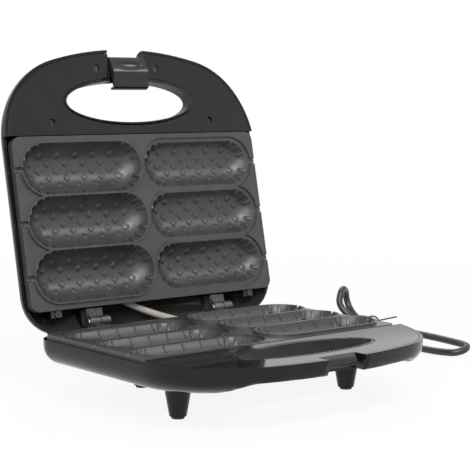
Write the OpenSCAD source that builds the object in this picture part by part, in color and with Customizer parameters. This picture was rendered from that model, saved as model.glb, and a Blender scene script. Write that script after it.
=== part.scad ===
// Corn dog maker: a table-top electric baker with two hinged non-stick plates.
// Six long moulds lie in two columns, and each has a channel for the stick.
// The lid stands open, as the baker waits to be filled.
// Millimetres, +Z up, handles toward -Y, table at z = 0.

/* [Housing] */
// width over the side walls
body_w = 244; // [241:1:247]
// front edge of the handles, measured from the middle of the plates
reach = 138.3; // [137:0.5:140]
// wall thickness of the plastic housings
wall = 2.5; // [2.2:0.1:2.7]
// height of the closing plane over the table
close_h = 51.3; // [48:0.5:58]
// depth of the base below the closing plane
tub_depth = 25; // [25:0.5:28]
// depth of the lid above the closing plane
lid_depth = 24.8; // [24.8:0.2:27]

/* [Plates] */
// depth of each plate, front to back
plate_d = 135; // [133:1:137]
// length of one mould
mould_l = 108.5; // [98:0.5:108.5]
// width of one mould
mould_w = 38.7; // [36:0.1:38.7]
// depth of one mould
mould_h = 13; // [11:0.5:13]
// diameter of a stick channel
stick_d = 4.8; // [3.5:0.1:5]

/* [Handle] */
// length of the grip opening
grip_l = 123.6; // [118:0.2:126]
// width of the bar in front of the grip opening
bar_w = 25.3; // [24.5:0.1:28]
// width of the latch
latch_w = 34; // [30:0.5:38]
// swing of the latch between hooked and hanging
latch_swing = 85; // [80:1:86]

/* [Hinge] */
// middle of each hinge, from the centre line
hinge_x = 61; // [56:1:64]
// radius of the hinge pins
pin_r = 2; // [1.6:0.1:2.3]
// how far the lid stands open
open_a = 101.9; // [92:0.1:104]

/* [Feet] */
// front feet, from the centre line
foot_x = 81; // [76:1:86]
// radius of a foot where it leaves the base
foot_r = 10.8; // [9.6:0.2:11.4]
// radius of a rubber foot pad
pad_r = 5; // [4.4:0.1:5.6]

/* [Cord] */
// diameter of the power cord
cord_d = 6.2; // [5.6:0.1:6.2]

/* [Hidden] */
// plan outline: one shallow front arc, two corner arcs, straight sides
half_w = body_w/2;
front_r = 275;
corner_r = 68;
rear_in = 11.5;
corner_x = half_w - corner_r;
centre_run = sqrt(pow(front_r - corner_r, 2) - corner_x*corner_x);
corner_u = reach - front_r + centre_run;
front_y = front_r - reach;
turn_a = atan2(corner_x, centre_run);
core_in = 8;

// the plate, its moulds and what lies under them
plate_x = half_w - wall - 1.5;
plate_y = plate_d/2;
face = 0.2;
drop = 2;
slab_t = 4;
plate_r = 7;
skirt_h = 7;
skirt_t = 1.6;
bowl_t = 2;
mould_r = (mould_w*mould_w/4 + mould_h*mould_h)/(2*mould_h);
mould_up = mould_r - mould_h;
run_x = (mould_l - mould_w)/2;
col_x = plate_x - 6.5 - mould_l/2;
row_y = (plate_d - 9.6)/3;
rim_t = 2.1;
rim_h = 2.1;
step_t = 2.5;
step_h = 1.9;
heat_r = 3;
heat_gap = mould_r + bowl_t + heat_r + 0.2;
heat_end = plate_x - skirt_t - heat_r - 0.35;
heat_near = min(row_y/2, heat_end - col_x - run_x);
heat_z = max(slab_t + heat_r + 0.2, sqrt(max(0, heat_gap*heat_gap - heat_near*heat_near)) - mould_up);
bend_x = min(col_x + run_x, heat_end - row_y/2);
bowl_z = mould_h + bowl_t;
pad_z = bowl_z + 0.6;
shield_z = face + bowl_z + 1.4;
stud_h = 4.6;

// rear walls, ledges and hinge axis
rear_base = plate_y + 8.5;
rear_lid = plate_y + 18.5;
rim_z = 6.2;
hinge_y = plate_y + 11.9;
hinge_z = -0.6;
tab_y = plate_y + 4.7;
knuckle_r = 4.5;
knuckle_w = 8.6;
ledge_z = 9;
lug_x = 95;
lug_y = plate_y + 2.9;

// middle of the open object, front to back
lid_back = hinge_y + (lid_depth - hinge_z)*sin(open_a) - (reach - 35.6 + hinge_y)*cos(open_a);
shift_y = (reach - lid_back)/2;

// handle: grip opening, hand recess, top surface, screws, latch
bar_z = 16;
lid_bar_z = 17;
sweep_a = 33;
bridge_w = 10.6;
grip_w = reach - plate_y - bar_w - bridge_w;
grip_u = plate_y + bridge_w + grip_w/2;
top_z = 4.7;
top_r = 400;
top_u = 110;
panel_z = 7.5;
notch_w = latch_w + 1;
notch_u = reach - 11.9;
slot_u = reach - 27.3;
bar_x = 29.4;
bar_u = reach - 15.5;
side_x = half_w - 27;
side_u = plate_y + 12.5;
lid_x = half_w - 44.5;
lid_u = plate_y + 11.5;
pivot_u = reach - 8.8;
pivot_z = 10;
latch_r = 1.25;
lip_z = 12.2;
screw_r = 1.5;

// sleeve for the wires that cross the hinge line
sleeve_r = 2.6;
sleeve_lid = [-28, plate_y - 3, 13.8];
sleeve_base = [20, plate_y + 3.2, -8];

// where the cord leaves the base
gland_x = 80;
gland_z = 18;
cord_r = cord_d/2;

// places a piece of the base, drawn with the closing plane at z = 0
module in_base() {
    translate([0, shift_y, close_h])
        children();
}

// places a piece of the lid, drawn closed, and swings it open about the hinge axis
module in_lid() {
    translate([0, shift_y + hinge_y, close_h + hinge_z])
        rotate([-open_a, 0, 0])
            translate([0, -hinge_y, -hinge_z])
                children();
}

// where a point of the closed lid comes to when the lid stands open
function opened(p) = [p[0],
    hinge_y + (p[1] - hinge_y)*cos(open_a) + (p[2] - hinge_z)*sin(open_a),
    hinge_z - (p[1] - hinge_y)*sin(open_a) + (p[2] - hinge_z)*cos(open_a)];

function arc(c, r, a, b, n) = [for (i = [0:n - 1]) c + r*[cos(a + (b - a)*i/n), sin(a + (b - a)*i/n)]];

// radius of the rear corners of a housing whose rear wall stands at rear
function rear_r(rear) = rear - plate_y + rear_in;

// carries a wall profile round the plan outline; x = 0 lies on the outline, negative is inside
module around(rear) {
    translate([0, front_y, 0])
        rotate([0, 0, 270 - turn_a])
            rotate_extrude(angle = 2*turn_a, $fn = 180)
                translate([front_r, 0])
                    children();
    for (s = [0, 1])
        mirror([s, 0, 0]) {
            translate([corner_x, -corner_u, 0])
                rotate([0, 0, 270 + turn_a])
                    rotate_extrude(angle = 90 - turn_a, $fn = 180)
                        translate([corner_r, 0])
                            children();
            translate([half_w - rear_r(rear), rear - rear_r(rear), 0])
                rotate_extrude(angle = 90, $fn = 96)
                    translate([rear_r(rear), 0])
                        children();
            translate([half_w, rear - rear_r(rear), 0])
                rotate([90, 0, 0])
                    linear_extrude(rear - rear_r(rear) + corner_u)
                        children();
        }
    rotate([0, 0, 90])
        translate([rear, half_w - rear_r(rear), 0])
            rotate([90, 0, 0])
                linear_extrude(2*(half_w - rear_r(rear)))
                    children();
}

// the middle of the plan, inside the wall band
module plan_core(rear) {
    polygon(concat(
        arc([0, front_y], front_r - core_in, 270 - turn_a, 270 + turn_a, 6),
        arc([corner_x, -corner_u], corner_r - core_in, 270 + turn_a, 360, 6),
        [[half_w - core_in, -corner_u]],
        arc([half_w - rear_r(rear), rear - rear_r(rear)], rear_r(rear) - core_in, 0, 90, 4),
        [[half_w - rear_r(rear), rear - core_in]],
        arc([rear_r(rear) - half_w, rear - rear_r(rear)], rear_r(rear) - core_in, 90, 180, 4),
        [[core_in - half_w, rear - rear_r(rear)]],
        arc([-corner_x, -corner_u], corner_r - core_in, 180, 270 - turn_a, 6)));
}

// plan outline as a ring of points, set in by d, its front drawn back by e
function outline(rear, d, e) = let (r = rear_r(rear)) concat(
    arc([0, front_y + e], front_r - d, 270 - turn_a, 270 + turn_a, 20),
    arc([corner_x, e - corner_u], corner_r - d, 270 + turn_a, 360, 16),
    [[half_w - d, e - corner_u]],
    arc([half_w - r, rear - r], r - d, 0, 90, 8),
    [[half_w - r, rear - d]],
    arc([r - half_w, rear - r], r - d, 90, 180, 8),
    [[d - half_w, rear - r]],
    arc([-corner_x, e - corner_u], corner_r - d, 180, 270 - turn_a, 16));

// faces of a skin over rings of n points, closed at both ends
function skin(n, last) = concat([[for (k = [0:n - 1]) k]],
    [for (i = [0:last - 1], k = [0:n - 1])
        let (a = i*n + k, b = i*n + (k + 1)%n)
        each [[a, a + n, b + n], [a, b + n, b]]],
    [[for (k = [0:n - 1]) last*n + n - 1 - k]]);

// solid through a stack of outlines, each an inset, a height and a setback of the front
module loft(rear, rings) {
    pts = [for (r = rings) for (p = outline(rear, r[0], r[2])) [p[0], p[1], r[1]]];
    polyhedron(pts, skin(len(outline(rear, 0, 0)), len(rings) - 1));
}

// base: straight side wall, round lower edge that is drawn out longer at the front, walls set in by d
edge_r = 14;
front_in = 12;

module tub(d, top) {
    loft(rear_base, concat(
        [for (a = [90:-15:0])
            [edge_r - (edge_r - d)*cos(a), edge_r - tub_depth - (edge_r - d)*sin(a), front_in*(1 - cos(a))]],
        [[d, -top, 0]]));
}

// lid, drawn face up: tight lower edge, long slope, round shoulder
slope_a = 50;
foot_edge = 9;
foot_h = 7.2;
slope_rise = lid_depth - foot_h - foot_edge*sin(slope_a) - edge_r*(1 - sin(slope_a));
shoulder_x = foot_edge*(1 - cos(slope_a)) + edge_r*cos(slope_a) + slope_rise*tan(slope_a);
shoulder_z = lid_depth - edge_r;

module hood(d, top) {
    loft(rear_lid, concat(
        [for (a = [90:-10:slope_a]) [shoulder_x - (edge_r - d)*cos(a), -shoulder_z - (edge_r - d)*sin(a), 0]],
        [for (a = [slope_a:-12.5:0]) [foot_edge - (foot_edge - d)*cos(a), -foot_h - (foot_edge - d)*sin(a), 0]],
        [[d, -top, 0]]));
}

// a flat slice of the plan outline, set in by d
module slice(d, low, high) {
    around(rear_base)
        translate([-16, low])
            square([16 - d, high - low]);
    translate([0, 0, low])
        linear_extrude(high - low)
            plan_core(rear_base);
}

// oval of the grip opening, grown by e
module grip(e) {
    translate([0, -grip_u])
        polygon([for (i = [0:95]) [(grip_l/2 + e)*cos(3.75*i), (grip_w/2 + e)*sin(3.75*i)]]);
}

module grip_cut(e, low, high) {
    translate([0, 0, low])
        linear_extrude(high - low)
            grip(e);
}

// room for the hand beside the bar of the handle, below z = -bar, grown by e
module hand_room(e, bar, deep) {
    x0 = grip_l/2 + 8;
    r = (deep - bar)/2/(1 - cos(sweep_a));
    x1 = x0 + 2*r*sin(sweep_a);
    flank = concat(
        [for (i = [0:6]) let (a = 90 - sweep_a*i/6) [x0 + (r + e)*cos(a), (r + e)*sin(a) - bar - r]],
        [for (i = [1:6]) let (a = 270 - sweep_a*(1 - i/6)) [x1 + (r - e)*cos(a), (r - e)*sin(a) - deep + r]],
        [[x1, -60]]);
    n = len(flank) - 1;
    translate([0, e - plate_y - 5.5, 0])
        rotate([90, 0, 0])
            linear_extrude(100)
                polygon(concat(flank, [for (i = [0:n]) [-flank[n - i][0], flank[n - i][1]]]));
}

// everything above the upper face of a handle
module above_handle() {
    translate([-half_w - 5, -top_u, top_r - top_z])
        rotate([0, 90, 0])
            cylinder(r = top_r, h = body_w + 10, $fn = 360);
    translate([-half_w - 5, -top_u - 60, -top_z])
        cube([body_w + 10, 60, 60]);
}

module bolt(head_r, head_h, long) {
    translate([0, 0, -head_h])
        cylinder(r = head_r, h = head_h, $fn = 40);
    translate([0, 0, -head_h - long])
        cylinder(r = screw_r, h = long + 0.01, $fn = 32);
}

// slot of a cross-head driver
module cross(z) {
    for (a = [0, 90])
        rotate([0, 0, a])
            translate([-1.7, -0.35, z - 0.8])
                cube([3.4, 0.7, 1]);
}

module rounded(x, y, r) {
    square([2*x, 2*(y - r)], center = true);
    square([2*(x - r), 2*y], center = true);
    for (i = [-1, 1], j = [-1, 1])
        translate([i*(x - r), j*(y - r)])
            circle(r, $fn = 64);
}

module stadium(r, run) {
    square([2*run, 2*r], center = true);
    for (s = [-1, 1])
        translate([s*run, 0])
            circle(r, $fn = 72);
}

module capsule(r) {
    translate([-run_x, 0, mould_up])
        rotate([0, 90, 0])
            cylinder(r = r, h = 2*run_x, $fn = 96);
    for (s = [-1, 1])
        translate([s*run_x, 0, mould_up])
            sphere(r, $fn = 96);
}

// one cast plate, face at z = 0; both plates are this casting, one turned over
module casting() {
    difference() {
        union() {
            translate([0, 0, -slab_t])
                linear_extrude(slab_t)
                    rounded(plate_x, plate_y, plate_r);
            translate([0, 0, -skirt_h])
                linear_extrude(skirt_h - 1)
                    difference() {
                        rounded(plate_x, plate_y, plate_r);
                        rounded(plate_x - skirt_t, plate_y - skirt_t, plate_r - skirt_t);
                    }
            intersection() {
                for (i = [-1, 1], j = [-1:1])
                    translate([i*col_x, j*row_y, 0])
                        capsule(mould_r + bowl_t);
                translate([-plate_x, -plate_y, -30])
                    cube([2*plate_x, plate_d, 29]);
            }
            for (j = [-1:1])
                translate([col_x, j*row_y, -1])
                    linear_extrude(1 + rim_h)
                        stadium(mould_w/2 + rim_t, run_x);
            for (s = [-1, 1]) {
                translate([s*lug_x - 4.5, plate_y - 1.5, -6])
                    cube([9, 7, 2.6]);
                translate([s*45 - 8, -plate_y - 4, -10.2])
                    cube([16, 7, 2.2]);
                translate([s*45 - 8, -plate_y + 0.01, -10.2])
                    cube([16, 2.5, 6.5]);
                translate([s*col_x, 0, -bowl_z - stud_h])
                    cylinder(r = 2, h = stud_h + 1.5, $fn = 32);
            }
            translate([-col_x, row_y, -pad_z])
                cylinder(r = 9, h = 3, $fn = 48);
        }
        for (i = [-1, 1], j = [-1:1])
            translate([i*col_x, j*row_y, 0]) {
                capsule(mould_r);
                translate([i*(run_x + mould_w/2 - 4), 0, 0])
                    rotate([0, i*90, 0])
                        cylinder(d = stick_d, h = 20, $fn = 32);
            }
        for (j = [-1:1])
            translate([-col_x, j*row_y, -step_h])
                linear_extrude(step_h + 10)
                    stadium(mould_w/2 + step_t, run_x);
        for (s = [-1, 1])
            translate([s*lug_x, lug_y, -10])
                cylinder(r = screw_r + 0.1, h = 10, $fn = 32);
    }
}

// tubular heater bent round the middle row of moulds, with two terminal pins
module heater() {
    translate([0, 0, -heat_z]) {
        for (s = [-1, 1])
            translate([-bend_x, s*row_y/2, 0])
                rotate([0, 90, 0]) {
                    cylinder(r = heat_r, h = bend_x + 98, $fn = 40);
                    cylinder(r = 1.3, h = bend_x + 108, $fn = 24);
                }
        translate([-bend_x, 0, 0])
            rotate([0, 0, 90])
                rotate_extrude(angle = 180, $fn = 96)
                    translate([row_y/2, 0])
                        circle(heat_r, $fn = 40);
    }
}

// bright sheet under the moulds, held on two cast studs
module shield() {
    translate([0, 0, face - shield_z - 0.8])
        linear_extrude(0.8)
            difference() {
                rounded(98, plate_y - 11, 8);
                for (s = [-1, 1])
                    translate([s*col_x, 0])
                        circle(2.2, $fn = 32);
                translate([-col_x, row_y])
                    circle(11, $fn = 64);
            }
}

module nuts() {
    for (s = [-1, 1])
        translate([s*col_x, 0, face - shield_z - 2])
            difference() {
                cylinder(r = 5, h = 1.2, $fn = 40);
                translate([0, 0, -1])
                    cylinder(r = 2, h = 4, $fn = 32);
            }
}

module lug_screws() {
    for (s = [-1, 1])
        translate([s*lug_x, lug_y, -1.6])
            difference() {
                bolt(2.5, 1.8, 9);
                cross(0);
            }
}

// bosses that carry the plate's lugs, rising from z = -deep to the lugs of a plate set back by low
module lug_posts(deep, low) {
    for (s = [-1, 1])
        translate([s*lug_x, lug_y, -deep])
            cylinder(r = 2.6, h = deep - face - low - 6.1, $fn = 40);
}

module lug_bores() {
    for (s = [-1, 1])
        translate([s*lug_x, lug_y, -14.6])
            cylinder(r = screw_r, h = 14, $fn = 32);
}

module base_shell() {
    color("#17181a")
        in_base()
            difference() {
                union() {
                    difference() {
                        tub(0, 0.6);
                        hand_room(0, bar_z, tub_depth);
                        difference() {
                            tub(wall, -3);
                            hand_room(wall, bar_z, tub_depth);
                            grip_cut(wall, -60, 10);
                            translate([-notch_w/2 - wall, -reach - 5, -60])
                                cube([notch_w + 2*wall, reach + 5 - notch_u + wall, 60 - panel_z - 0.2]);
                            translate([-notch_w/2, -reach - 5, -60])
                                cube([notch_w, reach + 4.6 - notch_u, 60]);
                        }
                    }
                    intersection() {
                        tub(1, -3);
                        translate([-half_w, plate_y + 0.9, -ledge_z - 2])
                            cube([body_w, 20, 2]);
                    }
                    lug_posts(ledge_z + 6, drop);
                    for (s = [-1, 1]) {
                        translate([s*bar_x, -bar_u, -bar_z + 1])
                            cylinder(r = 3.6, h = bar_z - 10.6, $fn = 40);
                        translate([s*side_x, -side_u, 1 - tub_depth])
                            cylinder(r = 4, h = tub_depth - 13, $fn = 40);
                    }
                    for (p = foot_spots())
                        translate([p[0], p[1], pad_h - close_h])
                            cylinder(r1 = 0.575*foot_r, r2 = foot_r, h = close_h - tub_depth - pad_h + 1, $fn = 64);
                }
                above_handle();
                translate([-half_w - 1, -plate_y - 0.9, -rim_z])
                    cube([body_w + 2, 200, 20]);
                grip_cut(0, -60, 10);
                difference() {
                    translate([-notch_w/2, -reach - 5, -60])
                        cube([notch_w, reach + 5 - notch_u, 80]);
                    translate([notch_w/2 + 1, -notch_u, 0])
                        rotate([90, 0, -90])
                            linear_extrude(notch_w + 2)
                                polygon([[-2, -top_z], [0.4, -top_z], [7.8, -10], [7.8, -lip_z], [-2, -lip_z]]);
                }
                lug_bores();
                for (s = [-1, 1]) {
                    translate([s*bar_x, -bar_u, -40])
                        cylinder(r = screw_r + 0.1, h = 40, $fn = 32);
                    translate([s*bar_x, -bar_u, -40])
                        cylinder(r = 3, h = 42 - bar_z, $fn = 40);
                    translate([s*side_x, -side_u, -40])
                        cylinder(r = screw_r + 0.1, h = 40, $fn = 32);
                    translate([s*side_x, -side_u, -40])
                        cylinder(r = 3, h = 42 - tub_depth, $fn = 40);
                    translate([s*hinge_x - knuckle_w - 0.6, plate_y + 0.5, -ledge_z - 3])
                        cube([knuckle_w + 0.4, 5.6, 4]);
                    translate([s*hinge_x - 4.8, plate_y + 4, -11.5])
                        rotate([-90, 0, 0])
                            cylinder(r = screw_r + 0.1, h = 10, $fn = 32);
                }
                translate([sleeve_base[0] - 18, plate_y + 0.3, -ledge_z - 3])
                    cube([24, 5.9, 20]);
                translate([sleeve_base[0] - 18, plate_y + 4, -ledge_z - 0.5])
                    cube([24, 10, 20]);
                translate([gland_x, plate_y, -gland_z])
                    rotate([-90, 0, 0])
                        cylinder(r = 4.2, h = 20, $fn = 48);
                for (p = foot_spots())
                    translate([p[0], p[1], pad_h - close_h - 1])
                        cylinder(r = 2, h = 6, $fn = 32);
            }
}

pad_h = 1.8;
function foot_spots() = [for (s = [-1, 1]) [s*foot_x, -50.3], for (s = [-1, 1]) [s*38, rear_base - 22]];

module foot_pads() {
    color("#222222")
        in_base()
            for (p = foot_spots())
                translate([p[0], p[1], -close_h]) {
                    cylinder(r1 = pad_r - 0.4, r2 = pad_r, h = pad_h, $fn = 48);
                    cylinder(r = 2, h = pad_h + 4, $fn = 32);
                }
}

// cover of a handle, drawn face up; the rim of the grip opening stands up through it
module cover(notch_back, boss) {
    difference() {
        union() {
            intersection() {
                slice(wall + 0.4, -panel_z, 0);
                translate([-half_w, -reach - 5, -40])
                    cube([body_w, reach + 5 - plate_y - 1, 80]);
            }
            for (p = boss)
                translate([p[0], p[1], p[2]])
                    cylinder(r = 3.6, h = -p[2] - panel_z + 1, $fn = 40);
        }
        above_handle();
        grip_cut(wall + 0.4, -60, 10);
        translate([-notch_w/2, -reach - 5, -60])
            cube([notch_w, reach + 5 - notch_back, 80]);
    }
}

module base_panel() {
    color("#1b1c1e")
        in_base()
            difference() {
                cover(notch_u + 0.1, concat(
                    [for (s = [-1, 1]) [s*bar_x, -bar_u, -9.4]],
                    [for (s = [-1, 1]) [s*side_x, -side_u, -11.8]]));
                for (s = [-1, 1], p = [[bar_x, bar_u], [side_x, side_u]])
                    translate([s*p[0], -p[1], -20])
                        cylinder(r = screw_r, h = 13.4, $fn = 32);
            }
}

module base_panel_screws() {
    color("#8a8c90")
        in_base()
            for (s = [-1, 1]) {
                translate([s*bar_x, -bar_u, 0.2 - bar_z])
                    mirror([0, 0, 1])
                        difference() {
                            bolt(2.6, 1.8, 7);
                            cross(0);
                        }
                translate([s*side_x, -side_u, 0.2 - tub_depth])
                    mirror([0, 0, 1])
                        difference() {
                            bolt(2.6, 1.8, tub_depth - 9.5);
                            cross(0);
                        }
            }
}

module lower_plate() {
    color("#55575a")
        in_base()
            translate([0, 0, -face - drop])
                casting();
}

module lower_plate_screws() {
    color("#8a8c90")
        in_base()
            translate([0, 0, -drop])
                lug_screws();
}

module lower_element() {
    color("#6e6f72")
        in_base()
            translate([0, 0, -face - drop])
                heater();
}

module lower_reflector() {
    color("#c4c6c9")
        in_base()
            translate([0, 0, -face - drop])
                shield();
}

module lower_push_nuts() {
    color("#9a9ca0")
        in_base()
            translate([0, 0, -face - drop])
                nuts();
}

// round bimetal thermostat under one mould, with two terminal blades
module thermostat() {
    color("#c9b79a")
        in_base()
            translate([-col_x, row_y, -face - drop - pad_z - 4.2]) {
                cylinder(r = 8, h = 4.2, $fn = 64);
                for (s = [-1, 1])
                    translate([s*5 - 2.4, 7, 0.4])
                        cube([4.8, 8, 0.8]);
            }
}

// block where the cord's wires meet the wires of both heaters
module terminal_block() {
    color("#d8d4c8")
        in_base()
            difference() {
                translate([-6, -plate_y - 2.5, wall + 0.2 - tub_depth])
                    cube([12, 9, 8]);
                for (s = [-1, 1])
                    translate([s*2.9, 2 - plate_y, wall + 3 - tub_depth])
                        cylinder(r = 1.6, h = 10, $fn = 32);
            }
}

// base half of each hinge: a plate behind the rear wall, an arm over it and one knuckle
module base_hinges() {
    color("#2a2b2d")
        in_base()
            for (s = [-1, 1])
                translate([s*hinge_x - knuckle_w - 0.4, 0, 0])
                    difference() {
                        union() {
                            translate([0, plate_y + 1.6, -14.5])
                                cube([knuckle_w, 3.7, 13]);
                            translate([0, plate_y + 1.6, -6])
                                cube([knuckle_w, 10.3, 4.5]);
                            translate([0, hinge_y, hinge_z])
                                rotate([0, 90, 0])
                                    cylinder(r = knuckle_r, h = knuckle_w, $fn = 64);
                        }
                        translate([-1, hinge_y, hinge_z])
                            rotate([0, 90, 0])
                                cylinder(r = pin_r, h = knuckle_w + 2, $fn = 48);
                        translate([knuckle_w - 4.4, plate_y, -11.5])
                            rotate([-90, 0, 0])
                                cylinder(r = screw_r, h = 8, $fn = 32);
                    }
}

module base_hinge_screws() {
    color("#8a8c90")
        in_base()
            for (s = [-1, 1])
                translate([s*hinge_x - 4.8, rear_base + 2.05, -11.5])
                    rotate([-90, 0, 0])
                        difference() {
                            bolt(2.8, 2, 6);
                            cross(0);
                        }
}

module hinge_pins() {
    color("#a8aaae")
        in_base()
            for (s = [-1, 1])
                translate([s*hinge_x, hinge_y, hinge_z])
                    rotate([0, 90, 0]) {
                        translate([0, 0, -knuckle_w - 1.2])
                            cylinder(r = pin_r, h = 2*knuckle_w + 2.4, $fn = 48);
                        translate([0, 0, -knuckle_w - 2])
                            cylinder(r = pin_r + 1.2, h = 1.4, $fn = 48);
                    }
}

// woven sleeve round the wires, drawn straight across the open hinge gap
module wire_sleeve() {
    a = opened(sleeve_lid);
    b = sleeve_base;
    d = a - b;
    color("#cfc8bd")
        in_base()
            translate(b)
                rotate([0, acos(d[2]/norm(d)), atan2(d[1], d[0])])
                    difference() {
                        cylinder(r = sleeve_r, h = norm(d), $fn = 48);
                        translate([0, 0, -1])
                            cylinder(r = sleeve_r - 0.8, h = norm(d) + 2, $fn = 48);
                    }
}

// lid housing, drawn face up like the base and turned over when placed
module lid_shell() {
    color("#17181a")
        in_lid()
            mirror([0, 0, 1])
                difference() {
                    union() {
                        difference() {
                            hood(0, 0.6);
                            hand_room(0, lid_bar_z, lid_depth);
                            difference() {
                                hood(wall, -3);
                                hand_room(wall, lid_bar_z, lid_depth);
                                grip_cut(wall, -60, 10);
                                translate([-notch_w/2 - wall, -reach - 5, -60])
                                    cube([notch_w + 2*wall, reach + 4 - slot_u, 60 - panel_z - 0.2]);
                            }
                        }
                        intersection() {
                            hood(1, -3);
                            union() {
                                for (s = [-1, 1])
                                    translate([s*hinge_x - 9, plate_y + 1.2, -40])
                                        cube([19, 30, 40 - ledge_z]);
                                translate([sleeve_lid[0] - 5, sleeve_lid[1] - 4, -40])
                                    cube([8, 5, 37.4 - sleeve_lid[2]]);
                                lug_posts(40, 0);
                                difference() {
                                    for (s = [-1, 1], p = [[bar_x, bar_u], [lid_x, lid_u]])
                                        translate([s*p[0], -p[1], -40])
                                            cylinder(r = 4, h = 29.9, $fn = 40);
                                    hand_room(1, lid_bar_z, lid_depth);
                                }
                            }
                        }
                    }
                    above_handle();
                    translate([-half_w - 1, -plate_y - 0.9, -rim_z])
                        cube([body_w + 2, 200, 20]);
                    grip_cut(0, -60, 10);
                    translate([-notch_w/2, -reach - 5, -13.6])
                        cube([notch_w, reach + 5 - slot_u, 40]);
                    translate([-notch_w/2, -reach - 5, -60])
                        cube([notch_w, 10.3, 80]);
                    translate([-latch_w, -pivot_u, -pivot_z])
                        rotate([0, 90, 0])
                            cylinder(r = latch_r, h = 2*latch_w, $fn = 32);
                    lug_bores();
                    for (s = [-1, 1]) {
                        translate([s*bar_x, -bar_u, -14.7])
                            cylinder(r = screw_r, h = 20, $fn = 32);
                        translate([s*lid_x, -lid_u, -14.7])
                            cylinder(r = screw_r, h = 20, $fn = 32);
                        translate([s*hinge_x - 3.9, tab_y, -17])
                            cylinder(r = screw_r, h = 20, $fn = 32);
                    }
                    for (x = [-11, 11])
                        translate([x, -plate_y + 5, -40])
                            cylinder(r = 3, h = 30, $fn = 40);
                }
}

module lid_panel() {
    spots = concat([for (s = [-1, 1]) [s*bar_x, -bar_u, -10]], [for (s = [-1, 1]) [s*lid_x, -lid_u, -10]]);
    color("#1b1c1e")
        in_lid()
            mirror([0, 0, 1])
                difference() {
                    cover(grip_u + 4.5, spots);
                    for (p = spots)
                        translate([p[0], p[1], 0]) {
                            translate([0, 0, -20])
                                cylinder(r = screw_r + 0.1, h = 20, $fn = 32);
                            translate([0, 0, -7.9])
                                cylinder(r = 2.9, h = 20, $fn = 40);
                        }
                }
}

module lid_panel_screws() {
    color("#3a3b3d")
        in_lid()
            mirror([0, 0, 1])
                for (s = [-1, 1], p = [[bar_x, bar_u], [lid_x, lid_u]])
                    translate([s*p[0], -p[1], -6.1])
                        difference() {
                            bolt(2.6, 1.8, 6.6);
                            cross(0);
                        }
}

module upper_plate() {
    color("#55575a")
        in_lid()
            translate([0, 0, face])
                rotate([0, 180, 0])
                    casting();
}

module upper_plate_screws() {
    color("#8a8c90")
        in_lid()
            mirror([0, 0, 1])
                lug_screws();
}

module upper_element() {
    color("#6e6f72")
        in_lid()
            translate([0, 0, face])
                rotate([0, 180, 0])
                    heater();
}

module upper_reflector() {
    color("#c4c6c9")
        in_lid()
            translate([0, 0, face])
                rotate([0, 180, 0])
                    shield();
}

module upper_push_nuts() {
    color("#9a9ca0")
        in_lid()
            translate([0, 0, face])
                rotate([0, 180, 0])
                    nuts();
}

// thermal cut-out clamped on the flat pad of the upper plate
module thermal_fuse() {
    color("#b9a878")
        in_lid()
            translate([col_x, row_y, face + pad_z]) {
                translate([-7, -3, 0])
                    cube([14, 6, 0.8]);
                translate([-6, 0, 2.8])
                    rotate([0, 90, 0])
                        cylinder(r = 2.1, h = 12, $fn = 40);
                translate([-1.5, -3, 0])
                    cube([3, 6, 5.4]);
            }
}

// lid half of each hinge: a screwed leaf with one knuckle below it
module lid_hinges() {
    color("#2a2b2d")
        in_lid()
            for (s = [-1, 1])
                translate([s*hinge_x, 0, 0])
                    difference() {
                        union() {
                            translate([-7.4, plate_y + 1.2, 3.4])
                                cube([7, 7, 5.6]);
                            translate([-7.4, plate_y + 1.2, 6])
                                cube([7.8 + knuckle_w, rear_lid - wall - plate_y - 2, 3]);
                            translate([0.4, hinge_y - 3.2, hinge_z])
                                cube([knuckle_w, 6.4, 7]);
                            translate([0.4, hinge_y, hinge_z])
                                rotate([0, 90, 0])
                                    cylinder(r = knuckle_r, h = knuckle_w, $fn = 64);
                        }
                        translate([-1, hinge_y, hinge_z])
                            rotate([0, 90, 0])
                                cylinder(r = pin_r + 0.06, h = knuckle_w + 4, $fn = 48);
                        translate([-3.9, tab_y, 0])
                            cylinder(r = screw_r + 0.1, h = 20, $fn = 32);
                    }
}

module lid_hinge_screws() {
    color("#8a8c90")
        in_lid()
            for (s = [-1, 1])
                translate([s*hinge_x - 3.9, tab_y, 1.8])
                    mirror([0, 0, 1])
                        difference() {
                            bolt(2.6, 1.6, 10.6);
                            cross(0);
                        }
}

module neon_lamps() {
    color("#e8b49a")
        in_lid()
            for (x = [-11, 11])
                translate([x, -plate_y + 5, lid_depth - 11])
                    cylinder(r = 2.2, h = 8.5, $fn = 40);
}

// lens of an indicator lamp, pressed into the top of the lid
module lens(x) {
    in_lid()
        translate([x, -plate_y + 5, lid_depth - wall])
            difference() {
                union() {
                    cylinder(r = 3, h = wall + 0.2, $fn = 40);
                    translate([0, 0, wall])
                        cylinder(r1 = 4.4, r2 = 3.6, h = 1, $fn = 48);
                }
                translate([0, 0, -1])
                    cylinder(r = 2.2, h = 2.2, $fn = 40);
            }
}

module power_lens() {
    color("#c8281e")
        lens(-11);
}

module ready_lens() {
    color("#2f9e44")
        lens(11);
}

// latch in its hooked place, seen from the side: x = toward the front, y = up, pivot at 0
module latch_profile() {
    difference() {
        union() {
            circle(3, $fn = 48);
            polygon(concat([[0, -1], [5.2, -1], [5.2, -22.9], [1.6, -22.9], [1.6, -23.8], [3.4, -25.4],
                [10.2, -25.4], [10.2, -24]],
                [for (i = [0:8]) [7.7 - 1.2*sin(22.5*i), 1.75*i - 22]],
                [for (a = [0:15:90]) [5.2 + 2.5*cos(a), 2.5*sin(a) - 0.3]],
                [[0, 2.2]]));
        }
        circle(latch_r + 0.05, $fn = 32);
    }
}

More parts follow.
